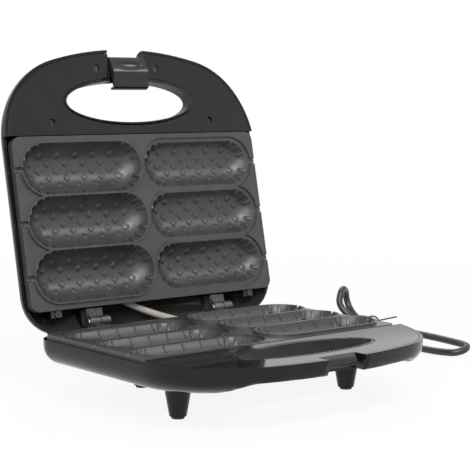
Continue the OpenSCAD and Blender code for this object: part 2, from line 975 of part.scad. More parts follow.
module latch() {
    color("#1d1e20")
        in_lid()
            translate([0, -pivot_u, pivot_z])
                rotate([latch_swing, 0, 0])
                    difference() {
                        translate([latch_w/2, 0, 0])
                            rotate([90, 0, -90])
                                linear_extrude(latch_w)
                                    latch_profile();
                        translate([0, -7, -6.2])
                            rotate([90, 0, 0])
                                linear_extrude(5)
                                    difference() {
                                        stadium(4.6, 9);
                                        stadium(3.6, 9);
                                    }
                    }
}

module latch_pin() {
    color("#a8aaae")
        in_lid()
            translate([-notch_w/2 - wall, -pivot_u, pivot_z])
                rotate([0, 90, 0])
                    cylinder(r = latch_r, h = notch_w + 2*wall, $fn = 32);
}

// tube through a list of points; the reference of each ring is never along the tube
function unit(v) = v/norm(v);

module tube(pts, refs, r, n) {
    last = len(pts) - 1;
    dirs = [for (i = [0:last]) unit(pts[min(i + 1, last)] - pts[max(i - 1, 0)])];
    rings = [for (i = [0:last])
        let (e = unit(refs[i] - (refs[i]*dirs[i])*dirs[i]), f = cross3(dirs[i], e))
        for (k = [0:n - 1]) pts[i] + r*(cos(360*k/n)*e + sin(360*k/n)*f)];
    polyhedron(rings, skin(n, last));
}

function cross3(a, b) = [a[1]*b[2] - a[2]*b[1], a[2]*b[0] - a[0]*b[2], a[0]*b[1] - a[1]*b[0]];

// smooth route through hand-set points
function blend(p, t) = let (n = len(p) - 1, i = min(floor(t), n - 1), f = t - i,
    a = p[max(i - 1, 0)], b = p[i], c = p[i + 1], d = p[min(i + 2, n)])
    0.5*(2*b + (c - a)*f + (2*a - 5*b + 4*c - d)*f*f + (3*b - a - 3*c + d)*f*f*f);

function route(p, k) = [for (i = [0:(len(p) - 1)*k]) blend(p, i/k)];

// half a loop of radius r about c, from u over v to -u
function bow(c, r, u, v) = [for (a = [0:45:180]) c + r*(cos(a)*u + sin(a)*v)];

// the whole cord: from the base along the table, up into a raised loop, through the tie and along a flat
// loop, back through the tie and on to the plug behind the lid
gland_h = close_h - gland_z;
lead_set = [[gland_x, plate_y + 2.5, gland_h], [gland_x, plate_y + 18, gland_h], [gland_x, plate_y + 33, gland_h],
    [gland_x, plate_y + 44, gland_h - 1], [88, 130, 20], [108, 141, 8], [145, 141, 4], [185, 128, 3.6],
    [212, 104, 3.4], [230, 86, 3.3]];
hank_set = concat(
    [[244, 86, 5], [252, 99, 9.6], [253.4, 112, 12.8], [251, 123, 18], [247.6, 130.6, 25]],
    bow([256, 139, 31.5], 10.7, [-0.877, -0.481, 0], [0, 0, 1]),
    [[266, 140, 22.6], [264, 128, 15.4], [261.6, 113, 12], [260.2, 98, 11]],
    [[262, 78, 10.8], [263.5, 52, 10.4], [263.5, 26, 9.8], [262.3, 4, 9.2]],
    bow([251.3, -8, 6.3], 10.2, [0.97, 0, 0.235], [0, -1, 0]),
    [[240, 8, 3.4], [240.5, 30, 3.8], [243, 56, 7], [248.5, 80, 13.6], [253.6, 97, 17.2], [249, 110, 18.4]]);
tail_set = [[240, 121, 15], [230, 135, 9.4], [220, 153, 4.8], [206, 172, 3.6], [188, 183, 3.8], [168, 184, 7],
    [148, 178, 16], [130, 176, 18], [115, 176, 18], [100, 176, 18]];
cord_pts = route(concat(lead_set, hank_set, tail_set), 6);
hank_from = 6*len(lead_set);
hank_to = hank_from + 6*(len(hank_set) - 1);
hank_gap = min([for (i = [hank_from:hank_to], j = [hank_from:hank_to])
    if (j > i + 12) norm(cord_pts[i] - cord_pts[j])]) - cord_d;
tie_at = [255.3, 98, 12.7];

// part of the cord between two points of its route; high rings are set up across the raised loop
module strand(from, to) {
    p = [for (i = [from:to]) cord_pts[i]];
    lift = [for (q = p) min(1, max(0, (q[2] - 8)/10))];
    tube(p, [for (w = lift) (1 - w)*[0, 0, 1] + w*[0.481, -0.877, 0]], cord_r, 10);
}

module on_table() {
    translate([0, shift_y, 0])
        children();
}

// free cord from the base to the hank, lying on the table
module cord_lead() {
    color("#1c1c1d")
        on_table()
            strand(0, hank_from);
}

module cord_hank() {
    echo(hank_gap = hank_gap);
    color("#1c1c1d")
        on_table()
            strand(hank_from, hank_to);
}

// free cord from the hank to the plug, behind the lid
module cord_tail() {
    color("#1c1c1d")
        on_table()
            strand(hank_to, len(cord_pts) - 1);
}

// twist tie: a wire ring round the strands with one free end
module cord_tie() {
    e = [0.77, -0.6, 0.2];
    color("#141414")
        on_table()
            translate(tie_at) {
                rotate([80, 0, -4])
                    rotate_extrude($fn = 48)
                        translate([8.6, 0])
                            circle(0.7, $fn = 16);
                translate([7.6, -0.6, 4])
                    rotate([0, acos(e[2]/norm(e)), atan2(e[1], e[0])])
                        cylinder(r = 0.7, h = 17, $fn = 16);
            }
}

// rubber bush that holds the cord in the rear wall and stops it kinking
module cord_gland() {
    color("#1a1a1b")
        in_base()
            translate([gland_x, 0, -gland_z])
                rotate([-90, 0, 0])
                    difference() {
                        union() {
                            translate([0, 0, plate_y + 2.5])
                                cylinder(r = 4.2, h = 8, $fn = 48);
                            translate([0, 0, rear_base])
                                cylinder(r = 6.4, h = 2, $fn = 48);
                            translate([0, 0, rear_base + 2])
                                cylinder(r1 = 5.2, r2 = 4, h = 20, $fn = 48);
                        }
                        translate([0, 0, plate_y])
                            cylinder(r = cord_r, h = 40, $fn = 48);
                    }
}

// moulded mains plug with a round body, lying on the table behind the lid
module plug_body() {
    color("#1a1a1b")
        on_table()
            translate([0, 176, 18])
                rotate([0, 90, 0])
                    difference() {
                        union() {
                            translate([0, 0, 62])
                                cylinder(r = 18, h = 22, $fn = 72);
                            translate([0, 0, 84])
                                cylinder(r1 = 18, r2 = 8, h = 12, $fn = 72);
                            translate([0, 0, 96])
                                cylinder(r1 = 6, r2 = 4.4, h = 18, $fn = 48);
                        }
                        translate([0, 0, 100])
                            cylinder(r = cord_r, h = 20, $fn = 40);
                        for (s = [-1, 1])
                            translate([0, s*9.5, 50])
                                cylinder(r = 2.4, h = 24, $fn = 32);
                    }
}

module plug_pins() {
    color("#c9c6bd")
        on_table()
            translate([0, 176, 18])
                rotate([0, 90, 0])
                    for (s = [-1, 1])
                        translate([0, s*9.5, 43])
                            cylinder(r = 2.4, h = 31, $fn = 32);
}

base_shell();
base_panel();
base_panel_screws();
foot_pads();
lower_plate();
lower_plate_screws();
lower_element();
lower_reflector();
lower_push_nuts();
thermostat();
terminal_block();
base_hinges();
base_hinge_screws();
hinge_pins();
wire_sleeve();
lid_shell();
lid_panel();
lid_panel_screws();
upper_plate();
upper_plate_screws();
upper_element();
upper_reflector();
upper_push_nuts();
thermal_fuse();
lid_hinges();
lid_hinge_screws();
neon_lamps();
power_lens();
ready_lens();
latch();
latch_pin();
cord_gland();
cord_lead();
cord_hank();
cord_tail();
cord_tie();
plug_body();
plug_pins();
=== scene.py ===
import math

import bpy
from mathutils import Matrix, Vector


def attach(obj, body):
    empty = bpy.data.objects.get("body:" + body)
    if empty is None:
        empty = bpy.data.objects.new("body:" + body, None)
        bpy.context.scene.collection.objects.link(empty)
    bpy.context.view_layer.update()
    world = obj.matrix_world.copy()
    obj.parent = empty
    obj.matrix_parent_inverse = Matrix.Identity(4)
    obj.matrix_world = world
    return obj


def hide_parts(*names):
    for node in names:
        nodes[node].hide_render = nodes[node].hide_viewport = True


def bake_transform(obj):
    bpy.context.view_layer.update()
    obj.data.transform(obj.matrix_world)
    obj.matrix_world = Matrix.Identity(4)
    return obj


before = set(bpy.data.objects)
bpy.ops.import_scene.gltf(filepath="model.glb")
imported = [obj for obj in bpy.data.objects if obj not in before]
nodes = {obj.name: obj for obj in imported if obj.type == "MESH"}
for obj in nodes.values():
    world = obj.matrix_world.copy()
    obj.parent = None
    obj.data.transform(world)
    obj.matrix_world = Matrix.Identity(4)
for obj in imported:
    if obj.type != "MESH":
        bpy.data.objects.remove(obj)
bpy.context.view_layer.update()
scene = bpy.context.scene
MM = 0.001

# the photograph's own viewing angle: place, lens and sensor in millimetres, far limit in metres
EYE, LOOK = (-678.9, -853.85, 229.0), (0.6259, 0.7726, -0.0990)
LENS, SENSOR, FAR_LIMIT = 110.7, 36.0, 20.0

# sizes in millimetres, and angles, in a frame whose zero is the middle of the plates on the table
SHIFT_Y = -1.752
CLOSE_H = 51.3
HINGE_Y, HINGE_Z = 79.4, -0.6
OPEN_A = math.radians(101.9)
PLATE_Y = 67.5
RIM_X, RIM_H = 115, 5
GRIP_X, GRIP_Y, GRIP_W = 61.8, 95.4, 17.3
FACE, DROP = 0.2, 2.0
SLEEVE_LID, SLEEVE_BASE, SLEEVE_R = (-28, PLATE_Y - 3, 13.8), (20, PLATE_Y + 3.2, -8), 2.6
SLEEVE_SAG = (0, 1, -4)
MOULD_R, MOULD_UP, MOULD_RUN = 20.9009, 7.9009, 34.9
COL_X, ROW_Y = 57.25, 41.8
CORD_D, CORD_LOW = 6.2, 18
RAISED_LOOP_R, FLAT_LOOP_R = 10.7, 10.2
PIVOT, PIVOT_R, BORE_R = (0, 131.096, 252.925), 3, 1.3
LATCH_W, LATCH_TILT = 34.0, math.radians(16.9)

# steps along a route, roundness of a tube, and angles in degrees under which faces are blended
CORD_STEPS, SLEEVE_STEPS = 8, 24
CORD_ROUND, SLEEVE_ROUND = 5, 6
TUBE_BLEND, HOUSING_BLEND, RELIEF_BLEND, LATCH_BLEND = 40, 28, 32, 30
# a unit normal's part along an axis, over which a face counts as lying across that axis
FLAT = 0.9


def make_camera():
    data = bpy.data.cameras.new("photo_camera")
    data.lens = LENS
    data.sensor_width = SENSOR
    data.clip_end = FAR_LIMIT
    camera = bpy.data.objects.new("photo_camera", data)
    scene.collection.objects.link(camera)
    camera.location = Vector(EYE) * MM
    camera.rotation_euler = Vector(LOOK).to_track_quat("-Z", "Y").to_euler()
    scene.camera = camera


make_camera()


def base_point(x, y, z):
    """A point of the base, z over the closing plane, in metres in the row frame."""
    return Vector((x, y + SHIFT_Y, z + CLOSE_H)) * MM


def base_matrix():
    """Takes a point of the base, in millimetres, to its place in metres."""
    return Matrix.Scale(MM, 4) @ Matrix.Translation((0, SHIFT_Y, CLOSE_H))


def lid_matrix():
    """Takes a point of the closed lid, in millimetres, to its open place in metres."""
    hinge = Matrix.Translation((0, HINGE_Y + SHIFT_Y, CLOSE_H + HINGE_Z))
    back = Matrix.Translation((0, -HINGE_Y, -HINGE_Z))
    return Matrix.Scale(MM, 4) @ hinge @ Matrix.Rotation(-OPEN_A, 4, "X") @ back


# helpers of the modelled pieces
def select_only(obj):
    """Selects obj alone and makes it the active one."""
    bpy.ops.object.select_all(action="DESELECT")
    obj.select_set(True)
    bpy.context.view_layer.objects.active = obj


def pick_faces(obj, test):
    """Leaves obj in edit mode with the faces selected that pass the test of centre and normal."""
    bpy.context.view_layer.objects.active = obj
    bpy.ops.object.mode_set(mode="EDIT")
    bpy.ops.mesh.select_mode(type="FACE")
    bpy.ops.mesh.select_all(action="DESELECT")
    bpy.ops.object.mode_set(mode="OBJECT")
    for face in obj.data.polygons:
        face.select = test(face.center, face.normal)
    bpy.ops.object.mode_set(mode="EDIT")


def edit_all():
    """Opens the active object for editing with all of it selected."""
    bpy.ops.object.mode_set(mode="EDIT")
    bpy.ops.mesh.select_all(action="SELECT")


def blend_faces(angle):
    """Blends the active object's faces where they meet under the angle, in degrees."""
    bpy.ops.object.shade_smooth_by_angle(angle=math.radians(angle))


def draw_lines(name, dimensions, outlines, closed):
    """A curve with a straight-sided line through each list of points."""
    curve = bpy.data.curves.new(name, "CURVE")
    curve.dimensions = dimensions
    for outline in outlines:
        spline = curve.splines.new("POLY")
        spline.points.add(len(outline) - 1)
        for point, place in zip(spline.points, outline):
            point.co = (*place, 1)
        spline.use_cyclic_u = closed
    return curve


def to_mesh(curve):
    """Turns a curve into a mesh object of the same name, selected and active."""
    obj = bpy.data.objects.new(curve.name, curve)
    scene.collection.objects.link(obj)
    select_only(obj)
    bpy.ops.object.convert(target="MESH")
    return bpy.context.object


def tube(name, route, radius, resolution):
    """A round mesh tube along a list of points."""
    curve = draw_lines(name, "3D", [route], False)
    curve.bevel_depth = radius
    curve.bevel_resolution = resolution
    curve.use_fill_caps = True
    obj = to_mesh(curve)
    blend_faces(TUBE_BLEND)
    return obj


# the free cord: out of the bush, along the table, folded into a tied hank, on to the plug
def bow(c, r, u, v):
    """Half a loop of radius r about c, from u over v to -u."""
    return [Vector(c) + (Vector(u) * math.cos(a) + Vector(v) * math.sin(a)) * r
            for a in (math.radians(45 * k) for k in range(5))]


def smooth_route(points, steps):
    """Points on a smooth curve through the given ones."""
    out, n = [], len(points) - 1
    for i in range(n):
        a, b, c, d = points[max(i - 1, 0)], points[i], points[i + 1], points[min(i + 2, n)]
        for k in range(steps):
            f = k / steps
            out.append(0.5 * (2 * b + (c - a) * f + (2 * a - 5 * b + 4 * c - d) * f * f
                              + (3 * b - a - 3 * c + d) * f ** 3))
    return out + [points[-1]]


def cord_route():
    """The middle line of the cord, in metres in the row frame."""
    height = CLOSE_H - CORD_LOW
    lead = [(80, 70, height), (80, 85.5, height), (80, 100.5, height), (80, 111.5, height - 1),
            (88, 130, 20), (108, 141, 8), (145, 141, 4), (185, 128, 3.6), (212, 104, 3.4), (230, 86, 3.3),
            (244, 86, 5), (252, 99, 9.6), (253.4, 112, 12.8), (251, 123, 18), (247.6, 130.6, 25)]
    raised_loop = bow((256, 139, 31.5), RAISED_LOOP_R, (-0.877, -0.481, 0), (0, 0, 1))
    run = [(266, 140, 22.6), (264, 128, 15.4), (261.6, 113, 12), (260.2, 98, 11), (262, 78, 10.8),
           (263.5, 52, 10.4), (263.5, 26, 9.8), (262.3, 4, 9.2)]
    flat_loop = bow((251.3, -8, 6.3), FLAT_LOOP_R, (0.97, 0, 0.235), (0, -1, 0))
    tail = [(240, 8, 3.4), (240.5, 30, 3.8), (243, 56, 7), (248.5, 80, 13.6), (253.6, 97, 17.2),
            (249, 110, 18.4), (240, 121, 15), (230, 135, 9.4), (220, 153, 4.8), (206, 172, 3.6),
            (188, 183, 3.8), (168, 184, 7), (148, 178, 16), (130, 176, 18), (115, 176, 18), (100, 176, 18)]
    points = [Vector(q) for q in lead + raised_loop + run + flat_loop + tail]
    return [(p + Vector((0, SHIFT_Y, 0))) * MM for p in smooth_route(points, CORD_STEPS)]


def make_cord():
    route = cord_route()
    cord = tube("power_cord", route, CORD_D / 2 * MM, CORD_ROUND)
    length = sum((b - a).length for a, b in zip(route, route[1:]))
    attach(cord, "base")
    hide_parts("cord_lead", "cord_hank", "cord_tail")
    tuple(route[0])
    [tuple(p) for p in route]
    return cord


cord = make_cord()


# materials: every finish is made of nodes on Object coordinates
NOISE_ROUGH = 0.55
SLOW_SCALE, SLOW_DETAIL, FINE_DETAIL = 60.0, 3.0, 2.0
MIDDLE_HALF, TINT_STOPS = (0.25, 0.75), (0.3, 0.7)
GRAIN_STRENGTH, EDGE_SAMPLES = 0.25, 4


def new_material(name, color, rough, metal=0.0):
    """A plain material with its nodes, its links and its shader."""
    m = bpy.data.materials.new(name)
    m.use_nodes = True
    n = m.node_tree.nodes
    shader = n["Principled BSDF"]
    shader.inputs["Base Color"].default_value = (*color, 1)
    shader.inputs["Roughness"].default_value = rough
    shader.inputs["Metallic"].default_value = metal
    return m, n, m.node_tree.links, shader


def noise(n, links, scale, detail):
    """A noise pattern on Object coordinates."""
    place = n.new("ShaderNodeTexCoord")
    tex = n.new("ShaderNodeTexNoise")
    tex.inputs["Scale"].default_value = scale
    tex.inputs["Detail"].default_value = detail
    tex.inputs["Roughness"].default_value = NOISE_ROUGH
    links.new(place.outputs["Object"], tex.inputs["Vector"])
    return tex


def map_range(n, links, source, old, new):
    """Maps a value from the range old onto the range new."""
    node = n.new("ShaderNodeMapRange")
    for key, value in zip(("From Min", "From Max", "To Min", "To Max"), (*old, *new)):
        node.inputs[key].default_value = value
    links.new(source, node.inputs["Value"])
    return node.outputs["Result"]


def tint(n, links, source, a, b):
    """Maps a 0 to 1 value onto colours from a to b."""
    ramp = n.new("ShaderNodeValToRGB")
    for stop, position, color in zip(ramp.color_ramp.elements, TINT_STOPS, (a, b)):
        stop.position = position
        stop.color = (*color, 1)
    links.new(source, ramp.inputs["Fac"])
    return ramp.outputs["Color"]


def bump(n, links, shader, height, distance, soft):
    """A fine grain on the surface and, with soft, edges that look rounded by that radius."""
    node = n.new("ShaderNodeBump")
    if soft:
        edge = n.new("ShaderNodeBevel")
        edge.samples = EDGE_SAMPLES
        edge.inputs["Radius"].default_value = soft
        links.new(edge.outputs["Normal"], node.inputs["Normal"])
    node.inputs["Strength"].default_value = GRAIN_STRENGTH
    node.inputs["Distance"].default_value = distance
    links.new(height, node.inputs["Height"])
    links.new(node.outputs["Normal"], shader.inputs["Normal"])


def finish(name, dark, light, rough, grain, depth, metal=0.0, shine=0.5, soft=0.0):
    """A finish with slow changes of colour and polish, a fine grain and, with soft, rounded edges."""
    m, n, links, shader = new_material(name, dark, sum(rough) / 2, metal)
    shader.inputs["Specular IOR Level"].default_value = shine
    slow = noise(n, links, SLOW_SCALE, SLOW_DETAIL)
    links.new(tint(n, links, slow.outputs["Fac"], dark, light), shader.inputs["Base Color"])
    links.new(map_range(n, links, slow.outputs["Fac"], MIDDLE_HALF, rough), shader.inputs["Roughness"])
    fine = noise(n, links, grain, FINE_DETAIL)
    bump(n, links, shader, fine.outputs["Fac"], depth, soft)
    return m


def grey(v):
    """A grey that is a little cool."""
    return (v, v, v * 1.03)


# dark and light colour, roughness, scale and depth of the grain, then metal, shine and soft edge
LOOKS = {
    "housing_gloss": (grey(0.003), grey(0.005), (0.08, 0.13), 1400, 0.00001, 0.0, 0.28),
    "housing_inside": (grey(0.018), grey(0.026), (0.36, 0.44), 1400, 0.00001, 0.0, 0.22),
    "cover_gloss": (grey(0.003), grey(0.005), (0.05, 0.08), 1400, 0.00001, 0.0, 0.4, 0.0006),
    "latch_gloss": (grey(0.004), grey(0.006), (0.14, 0.2), 1400, 0.00001, 0.0, 0.5, 0.0005),
    "non_stick": (grey(0.032), grey(0.044), (0.28, 0.36), 2600, 0.00003, 0.0, 0.5, 0.0006),
    "hinge_steel": (grey(0.08), grey(0.13), (0.3, 0.42), 1800, 0.00002, 0.8),
    "zinc": (grey(0.42), grey(0.55), (0.28, 0.4), 1800, 0.00001, 1.0),
    "black_steel": (grey(0.06), grey(0.09), (0.3, 0.42), 1800, 0.00002, 0.6),
    "bright_sheet": (grey(0.7), grey(0.8), (0.2, 0.32), 900, 0.00001, 1.0),
    "tinted_steel": ((0.16, 0.15, 0.14), (0.26, 0.25, 0.24), (0.35, 0.5), 900, 0.00002, 1.0),
    "ceramic": ((0.5, 0.42, 0.32), (0.62, 0.53, 0.41), (0.6, 0.75), 1200, 0.00003),
    "cream_moulding": ((0.6, 0.57, 0.49), (0.68, 0.65, 0.57), (0.4, 0.5), 1200, 0.00002),
    "pad_rubber": (grey(0.012), grey(0.02), (0.6, 0.75), 1500, 0.00004),
    "cord_jacket": (grey(0.012), grey(0.018), (0.3, 0.42), 1500, 0.00003),
    "plug_moulding": (grey(0.012), grey(0.018), (0.32, 0.45), 1500, 0.00003),
    "nickel": ((0.62, 0.57, 0.48), (0.7, 0.66, 0.58), (0.22, 0.32), 900, 0.00001, 1.0),
    "red_lens": ((0.42, 0.012, 0.01), (0.5, 0.02, 0.015), (0.08, 0.14), 900, 0.00001),
    "green_lens": ((0.015, 0.25, 0.05), (0.02, 0.3, 0.07), (0.08, 0.14), 900, 0.00001),
    "lamp_glass": ((0.7, 0.5, 0.4), (0.8, 0.6, 0.48), (0.08, 0.14), 900, 0.00001),
    "tie_coat": (grey(0.008), grey(0.012), (0.35, 0.5), 1500, 0.00002),
    "glass_weave": ((0.24, 0.21, 0.19), (0.36, 0.32, 0.285), (0.7, 0.85), 900, 0.0002),
}
FINISHES = {name: finish(name, *look) for name, look in LOOKS.items()}

WEARS = {
    "base_shell": "housing_gloss", "lid_shell": "housing_gloss",
    "base_panel": "cover_gloss", "lid_panel": "cover_gloss",
    "base_panel_screws": "zinc", "lid_panel_screws": "black_steel",
    "latch": "latch_gloss", "latch_pin": "zinc", "foot_pads": "pad_rubber",
    "lower_plate": "non_stick", "upper_plate": "non_stick",
    "lower_plate_screws": "zinc", "upper_plate_screws": "black_steel",
    "lower_element": "tinted_steel", "upper_element": "tinted_steel",
    "lower_reflector": "bright_sheet", "upper_reflector": "bright_sheet",
    "lower_push_nuts": "zinc", "upper_push_nuts": "zinc",
    "base_hinges": "hinge_steel", "lid_hinges": "hinge_steel", "hinge_pins": "zinc",
    "base_hinge_screws": "zinc", "lid_hinge_screws": "hinge_steel",
    "thermostat": "ceramic", "terminal_block": "cream_moulding", "thermal_fuse": "nickel",
    "neon_lamps": "lamp_glass", "power_lens": "red_lens", "ready_lens": "green_lens",
    "wire_sleeve": "glass_weave", "cord_gland": "pad_rubber", "cord_tie": "tie_coat",
    "plug_body": "plug_moulding", "plug_pins": "nickel",
}


def wear(obj, material):
    """Gives obj one finish and no other."""
    obj.data.materials.clear()
    obj.data.materials.append(FINISHES[material])


for name, node in nodes.items():
    if name in WEARS:
        wear(node, WEARS[name])
wear(cord, "cord_jacket")


# the two housings again, their facets merged and blended into smooth walls, their hollows dull
# points closer than this, in metres, are merged
WELD = 0.00001
# the hollow's middle lies this far back and up or down, and at least so far in front of an inner face
HEART, HOLLOW = 5, 3
# limits of the grip opening's wall: squared share of its ellipse, and a normal's part along Z
GRIP_REACH, GRIP_TIP = 1.2, 0.6


def smooth_copy(node, name, body, dull):
    """A smooth copy of a CAD housing in its place; the faces that pass the test dull are dull."""
    obj = bpy.data.objects.new(name, nodes[node].data.copy())
    scene.collection.objects.link(obj)
    select_only(obj)
    edit_all()
    bpy.ops.mesh.remove_doubles(threshold=WELD)
    bpy.ops.object.mode_set(mode="OBJECT")
    blend_faces(HOUSING_BLEND)
    even = obj.modifiers.new("even", "WEIGHTED_NORMAL")
    even.weight = 100
    even.keep_sharp = True
    bpy.ops.object.modifier_apply(modifier="even")
    wear(obj, "housing_gloss")
    obj.data.materials.append(FINISHES["housing_inside"])
    pick_faces(obj, dull)
    obj.active_material_index = 1
    bpy.ops.object.material_slot_assign()
    bpy.ops.mesh.faces_shade_flat()
    bpy.ops.object.mode_set(mode="OBJECT")
    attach(obj, body)
    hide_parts(node)


def dull_faces(matrix, height):
    """A test for a housing's dull faces: hollow, rim beside the plate, wall of the grip opening."""
    heart = matrix @ Vector((0, HEART, height))
    back = matrix.inverted()
    turn = back.to_3x3().normalized()

    def test(centre, normal):
        c, d = back @ centre, turn @ normal
        if c.y > -PLATE_Y:
            rim = abs(c.x) > RIM_X and abs(d.z) > FLAT and abs(c.z) < RIM_H
            return rim or normal.dot(heart - centre) > HOLLOW * MM
        x, y = c.x / GRIP_X, (c.y + GRIP_Y) / GRIP_W
        inward = d.x * x / GRIP_X + d.y * y / GRIP_W < 0
        return inward and x * x + y * y < GRIP_REACH and abs(d.z) < GRIP_TIP

    return test


smooth_copy("base_shell", "base_housing", "base", dull_faces(base_matrix(), -HEART))
smooth_copy("lid_shell", "lid_housing", "lid", dull_faces(lid_matrix(), HEART))


# raised pads, ticks and end ribs cast into every mould: size, turn in degrees, rounding of the rim
PAD = (4.5, 4.5, 1.6), 45, 0.3
TICK = (1.2, 5.6, 1.2), 0, 0.25
RIB = (2.8, 7.4, 2.0), 0, 0.4
# spacing along a mould, depth sunk into its wall, and places across as shares of its radius
PITCH = 16.5
PAD_SINK, WALL_SINK = 0.05, 0.2
WIDE, NARROW = 0.56, 0.28
# the ribs' directions about a mould's round end, in degrees
RIB_TURNS = (-75, -50, -25, 25, 50, 75)
# the ticks' and the ribs' angles from a mould's bottom, in a recessed and in a raised column
RECESSED, RAISED = (53, 51), (64, 62)


def relief(size, turn, edge):
    """A flat block with a rounded upper rim, in millimetres, its top toward +Z."""
    bpy.ops.object.select_all(action="DESELECT")
    bpy.ops.mesh.primitive_cube_add(size=1)
    obj = bpy.context.object
    edit_all()
    bpy.ops.transform.resize(value=size)
    bpy.ops.transform.rotate(value=math.radians(turn), orient_axis="Z", center_override=(0, 0, 0))
    bpy.ops.object.mode_set(mode="OBJECT")
    pick_faces(obj, lambda centre, normal: normal.z > FLAT)
    bpy.ops.mesh.bevel(offset=edge, segments=2, affect="EDGES")
    bpy.ops.object.mode_set(mode="OBJECT")
    pick_faces(obj, lambda centre, normal: normal.z < -FLAT)
    bpy.ops.mesh.delete(type="FACE")
    bpy.ops.object.mode_set(mode="OBJECT")
    return obj


def upright(place, out, along):
    """A matrix at place whose Z axis is out and whose X axis is close to along."""
    x = (along - out * along.dot(out)).normalized()
    y = out.cross(x)
    m = Matrix((x, y, out)).transposed().to_4x4()
    m.translation = place
    return m


def on_mould(x, across):
    """A place on the mould's wall: x along it, across as a share of its radius."""
    centre = Vector((max(-MOULD_RUN, min(MOULD_RUN, x)), 0, MOULD_UP))
    way = Vector((x - centre.x, across * MOULD_R, 0))
    way.z = -math.sqrt(MOULD_R ** 2 - way.length_squared)
    way.normalize()
    return upright(centre + way * (MOULD_R - PAD_SINK), -way, Vector((1, 0, 0)))


def on_wall(side, x, steep):
    """A place high on the mould's wall, its X axis level; steep is its angle from the bottom."""
    steep = math.radians(steep)
    way = side * math.sin(steep) - Vector((0, 0, math.cos(steep)))
    level = Vector((0, 0, 1)).cross(side)
    return upright(Vector((x, 0, MOULD_UP)) + way * (MOULD_R - WALL_SINK), -way, level)


def end_side(end, turn):
    """The level direction at a mould's left (-1) or right (1) end, turned by some degrees."""
    a = math.radians(turn) + (math.pi if end < 0 else 0)
    return Vector((math.cos(a), math.sin(a), 0))


def mould_places(tick_at, rib_at):
    """Places of the pads, ticks and ribs of one mould; the last two by their angle from its bottom."""
    pads = [on_mould(k * PITCH, w * WIDE) for k in range(-2, 3) for w in (-1, 0, 1)]
    pads += [on_mould((k + 0.5) * PITCH, w * NARROW) for k in range(-3, 3) for w in (-1, 1)]
    ticks = [on_wall(Vector((0, w, 0)), k * PITCH, tick_at) for k in range(-2, 3) for w in (-1, 1)]
    ribs = [on_wall(end_side(e, a), e * MOULD_RUN, rib_at) for e in (-1, 1) for a in RIB_TURNS]
    return pads, ticks, ribs


def join_copies(name, master_places):
    """One piece made of a copy of each master at each of its places."""
    made = []
    for master, places in master_places:
        for place in places:
            mesh = master.data.copy()
            mesh.transform(place)
            obj = bpy.data.objects.new(name, mesh)
            scene.collection.objects.link(obj)
            made.append(obj)
    bpy.ops.object.select_all(action="DESELECT")
    for obj in made:
        obj.select_set(True)
    bpy.context.view_layer.objects.active = made[0]
    bpy.ops.object.join()
    piece = bpy.context.object
    piece.name = name
    blend_faces(RELIEF_BLEND)
    return piece


def make_relief():
    masters = [relief(*block) for block in (PAD, TICK, RIB)]
    turned = Matrix.Translation((0, 0, FACE)) @ Matrix.Rotation(math.pi, 4, "Y")
    plates = {
        "lower_relief": ("base", base_matrix() @ Matrix.Translation((0, 0, -FACE - DROP))),
        "upper_relief": ("lid", lid_matrix() @ turned),
    }
    # recessed column on the casting's left, raised column on its right
    columns = [(-COL_X, mould_places(*RECESSED)), (COL_X, mould_places(*RAISED))]
    for name, (body, plate) in plates.items():
        moulds = [(plate @ Matrix.Translation((x, row * ROW_Y, 0)), places)
                  for x, places in columns for row in (-1, 0, 1)]
        blocks = [(master, [mould @ place for mould, places in moulds for place in places[kind]])
                  for kind, master in enumerate(masters)]
        piece = join_copies(name, blocks)
        wear(piece, "non_stick")
        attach(piece, body)
    for master in masters:
        bpy.data.objects.remove(master)


make_relief()


# latch, in millimetres: a tongue with a sloping thumb face, an oval dish in it, a hollow front and a hook
DISH, DISH_AT, DISH_TURN = (1.9, 4.5, 13.0), (8.85, -6.2, 0), math.radians(-16.3)
KNUCKLE_ARC, BORE_ARC = range(47, 341, 14), range(0, 360, 15)
LATCH_WELD = 0.001


def ring(radius, degrees):
    """Points of a circle about the pivot at the given degrees."""
    return [(radius * math.cos(math.radians(a)), radius * math.sin(math.radians(a))) for a in degrees]


def latch_outlines():
    """Side view of the hanging latch and its bore: x toward the front, y up, pivot at zero."""
    back = [(5.2, -1), (5.2, -22.9), (1.6, -22.9), (1.6, -24.0), (2.4, -24.8), (3.8, -24.8)]
    face = [(7.0, -23.5), (7.5, -23.0), (7.6, -21.8), (7.7, -20.4), (7.9, -19.0), (8.2, -17.6), (8.6, -16.3),
            (9.1, -15.2), (9.6, -14.2), (10.0, -13.1), (10.1, -11.9), (10.0, -10.6), (9.7, -9.2), (9.2, -7.4),
            (8.5, -5.0), (7.7, -2.4), (6.9, 0.0), (6.2, 1.4), (5.6, 2.0), (4.8, 2.2)]
    tongue = ring(PIVOT_R, KNUCKLE_ARC) + back + face
    return [[(x, y, 0) for x, y in outline] for outline in (tongue, ring(BORE_R, BORE_ARC))]


def cut_dish(tongue):
    """Sinks the oval dish into the thumb face."""
    bpy.ops.object.select_all(action="DESELECT")
    bpy.ops.mesh.primitive_uv_sphere_add(segments=64, ring_count=32, radius=1)
    dish = bpy.context.object
    edit_all()
    bpy.ops.transform.resize(value=DISH)
    bpy.ops.transform.rotate(value=DISH_TURN, orient_axis="Z", center_override=(0, 0, 0))
    bpy.ops.transform.translate(value=DISH_AT)
    bpy.ops.object.mode_set(mode="OBJECT")
    cut = tongue.modifiers.new("dish", "BOOLEAN")
    cut.operation = "DIFFERENCE"
    cut.object = dish
    bpy.context.view_layer.objects.active = tongue
    bpy.ops.object.modifier_apply(modifier="dish")
    bpy.data.objects.remove(dish)


